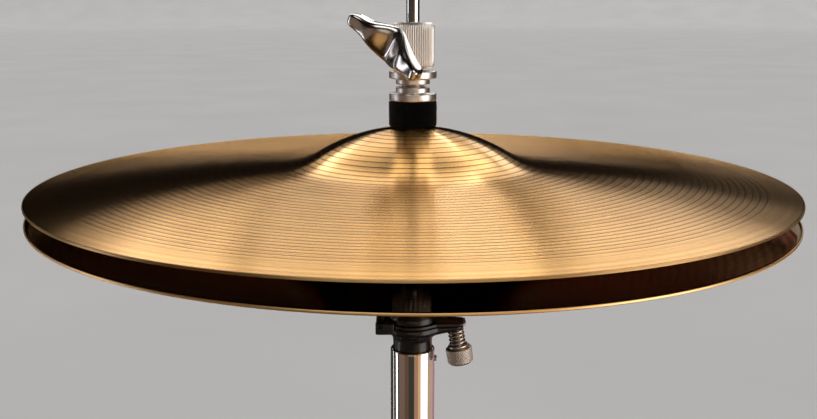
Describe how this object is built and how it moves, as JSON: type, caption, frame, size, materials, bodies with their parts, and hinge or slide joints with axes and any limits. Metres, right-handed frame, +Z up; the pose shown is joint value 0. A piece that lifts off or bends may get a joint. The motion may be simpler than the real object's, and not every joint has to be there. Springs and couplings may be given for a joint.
{
  "type": "hi-hat cymbal stand",
  "caption": "Hi-hat: two facing bronze cymbals, the upper on a clutch and pull rod worked by a foot pedal, on a folding tripod stand with a tilting seat.",
  "frame": {"origin": "on the tube's axis at floor level, in the underside of the pad below the base frame", "axes": "+Z up along the tube, pedal towards -Y, tilt screw of the seat towards +X"},
  "size_m": [0.5394, 0.6927, 1.01],
  "materials": {
    "cymbal_bronze": "lathed bronze with fine concentric grooves",
    "polished_chrome": "mirror polished",
    "nickel": "satin nickel plate",
    "black_felt": "dense wool felt",
    "black_plastic": "moulded",
    "plated_steel": "zinc plate",
    "chromed_steel": "chrome plate",
    "cast_aluminium": "tumbled casting",
    "black_steel": "powder coat",
    "rubber": "moulded"
  },
  "bodies": {
    "root": {"base_frame": "cast_aluminium", "base_plate": "black_steel", "sole_pad": "rubber", "heel_pad": "rubber", "frame_screws": "plated_steel", "heel_plate": "cast_aluminium", "hinge_pin": "plated_steel", "lower_tube": "polished_chrome", "brace_collar": "chromed_steel", "brace_pins": "plated_steel", "height_clamp": "chromed_steel", "height_bush": "black_plastic", "return_spring": "plated_steel", "spring_perch": "plated_steel"},
    "dial": {"tension_dial": "cast_aluminium"},
    "clamp_screw": {"clamp_wing_screw": "nickel"},
    "seat_tube": {"upper_tube": "polished_chrome", "seat_base": "black_plastic", "tilt_pin": "plated_steel", "seat_set_screw": "nickel"},
    "seat": {"tilt_plate": "plated_steel", "seat_cup": "black_plastic", "seat_felt": "black_felt"},
    "tilt_slider": {"tilt_washer": "plated_steel", "tilt_spring": "plated_steel"},
    "tilt_adjuster": {"tilt_screw": "plated_steel", "tilt_knob": "nickel"},
    "lower_cymbal": {"bottom_cymbal": "cymbal_bronze"},
    "rod": {"pull_rod": "polished_chrome", "rod_coupling": "plated_steel", "lower_rod": "plated_steel", "spring_cap": "plated_steel", "drive_link": "plated_steel", "link_pin": "plated_steel"},
    "pedal": {"footboard": "cast_aluminium", "toe_pin": "plated_steel"},
    "clutch": {"clutch_body": "nickel", "clutch_tube": "nickel", "clutch_felt_upper": "black_felt", "clutch_felt_lower": "black_felt"},
    "clutch_screw": {"clutch_wing_screw": "nickel"},
    "upper_nut": {"lock_nut_upper": "nickel"},
    "lower_nut": {"lock_nut_lower": "nickel"},
    "end_nut": {"clutch_end_nut": "nickel"},
    "upper_cymbal": {"top_cymbal": "cymbal_bronze"},
    "collar": {"leg_collar": "chromed_steel", "leg_pins": "plated_steel"},
    "collar_screw": {"collar_wing_screw": "nickel"},
    "leg_1_body": {"leg_1": "chromed_steel", "leg_foot_1": "rubber", "leg_rivets_1": "plated_steel"},
    "brace_1_body": {"brace_1": "chromed_steel"},
    "leg_2_body": {"leg_2": "chromed_steel", "leg_foot_2": "rubber", "leg_rivets_2": "plated_steel"},
    "brace_2_body": {"brace_2": "chromed_steel"},
    "leg_3_body": {"leg_3": "chromed_steel", "leg_foot_3": "rubber", "leg_rivets_3": "plated_steel"},
    "brace_3_body": {"brace_3": "chromed_steel"}
  },
  "joints": [
    {"name": "pedal_pull", "type": "slide", "parent": "root", "child": "rod", "axis": [0, 0, 1], "range_m": [-0.005, 0], "stiffness_N_per_m": 800, "springref_m": 0.035, "deforming": ["return_spring"]},
    {"name": "treadle", "type": "hinge", "parent": "root", "child": "pedal", "pos_m": [0, -0.3, 0.036], "axis": [1, 0, 0], "range_deg": [-1, 0]},
    {"name": "clutch_height", "type": "slide", "parent": "rod", "child": "clutch", "axis": [0, 0, 1], "range_m": [0, 0.04]},
    {"name": "clutch_screw_turn", "type": "hinge", "parent": "clutch", "child": "clutch_screw", "pos_m": [-0.00652, -0.00777, 0.9344], "axis": [-0.6428, -0.766, 0], "range_deg": [0, 360]},
    {"name": "upper_nut_turn", "type": "hinge", "parent": "clutch", "child": "upper_nut", "pos_m": [0, 0, 0.9193], "axis": [0, 0, 1], "range_deg": [0, 360]},
    {"name": "lower_nut_turn", "type": "hinge", "parent": "clutch", "child": "lower_nut", "pos_m": [0, 0, 0.9116], "axis": [0, 0, 1], "range_deg": [0, 360]},
    {"name": "end_nut_turn", "type": "hinge", "parent": "clutch", "child": "end_nut", "pos_m": [0, 0, 0.884], "axis": [0, 0, 1], "range_deg": [0, 360]},
    {"name": "upper_cymbal_spin", "type": "hinge", "parent": "clutch", "child": "upper_cymbal", "pos_m": [0, 0, 0.87], "axis": [0, 0, 1], "continuous": true},
    {"name": "stand_height", "type": "slide", "parent": "root", "child": "seat_tube", "axis": [0, 0, 1], "range_m": [-0.12, 0]},
    {"name": "seat_tilt", "type": "hinge", "parent": "seat_tube", "child": "seat", "pos_m": [-0.016, 0, 0.7974], "axis": [0, -1, 0], "range_deg": [0, 1]},
    {"name": "tilt_advance", "type": "slide", "parent": "seat_tube", "child": "tilt_slider", "axis": [-0.165, 0, 0.9863], "range_m": [0, 0.0007]},
    {"name": "tilt_screw_turn", "type": "hinge", "parent": "tilt_slider", "child": "tilt_adjuster", "pos_m": [0.0214, 0, 0.7943], "axis": [-0.165, 0, 0.9863], "range_deg": [0, 300]},
    {"name": "lower_cymbal_spin", "type": "hinge", "parent": "seat", "child": "lower_cymbal", "pos_m": [0, 0, 0.8597], "axis": [0.0054, -0.0084, 1], "continuous": true},
    {"name": "leg_spread", "type": "slide", "parent": "root", "child": "collar", "axis": [0, 0, 1], "range_m": [0, 0.08]},
    {"name": "collar_screw_turn", "type": "hinge", "parent": "collar", "child": "collar_screw", "pos_m": [0, -0.0245, 0.4], "axis": [0, -1, 0], "range_deg": [0, 360]},
    {"name": "clamp_screw_turn", "type": "hinge", "parent": "root", "child": "clamp_screw", "pos_m": [0.02122, 0.01225, 0.53], "axis": [0.866, 0.5, 0], "range_deg": [0, 360]},
    {"name": "tension_turn", "type": "hinge", "parent": "root", "child": "dial", "pos_m": [0, 0, 0.2125], "axis": [0, 0, 1], "range_deg": [-180, 180]},
    {"name": "leg_1_fold", "type": "hinge", "parent": "collar", "child": "leg_1_body", "pos_m": [0, 0.032, 0.4], "axis": [-1, 0, 0], "range_deg": [0, 25.5]},
    {"name": "brace_1_fold", "type": "hinge", "parent": "root", "child": "brace_1_body", "pos_m": [0, 0.032, 0.19], "axis": [1, 0, 0], "range_deg": [0, 44.8]},
    {"name": "leg_2_fold", "type": "hinge", "parent": "collar", "child": "leg_2_body", "pos_m": [-0.02771, -0.016, 0.4], "axis": [0.5, -0.866, 0], "range_deg": [0, 25.5]},
    {"name": "brace_2_fold", "type": "hinge", "parent": "root", "child": "brace_2_body", "pos_m": [-0.02771, -0.016, 0.19], "axis": [-0.5, 0.866, 0], "range_deg": [0, 44.8]},
    {"name": "leg_3_fold", "type": "hinge", "parent": "collar", "child": "leg_3_body", "pos_m": [0.02771, -0.016, 0.4], "axis": [0.5, 0.866, 0], "range_deg": [0, 25.5]},
    {"name": "brace_3_fold", "type": "hinge", "parent": "root", "child": "brace_3_body", "pos_m": [0.02771, -0.016, 0.19], "axis": [-0.5, -0.866, 0], "range_deg": [0, 44.8]}
  ],
  "couplings": [
    {"joint": "treadle", "follows": "pedal_pull", "rad_per_m": 3.3278},
    {"joint": "tilt_advance", "follows": "seat_tilt", "m_per_rad": 0.0374},
    {"joint": "tilt_screw_turn", "follows": "seat_tilt", "ratio": 294},
    {"joint": "leg_1_fold", "follows": "leg_spread", "rad_per_m": 5.4542},
    {"joint": "brace_1_fold", "follows": "leg_spread", "rad_per_m": 9.6451},
    {"joint": "leg_2_fold", "follows": "leg_spread", "rad_per_m": 5.4542},
    {"joint": "brace_2_fold", "follows": "leg_spread", "rad_per_m": 9.6451},
    {"joint": "leg_3_fold", "follows": "leg_spread", "rad_per_m": 5.4542},
    {"joint": "brace_3_fold", "follows": "leg_spread", "rad_per_m": 9.6451}
  ]
}
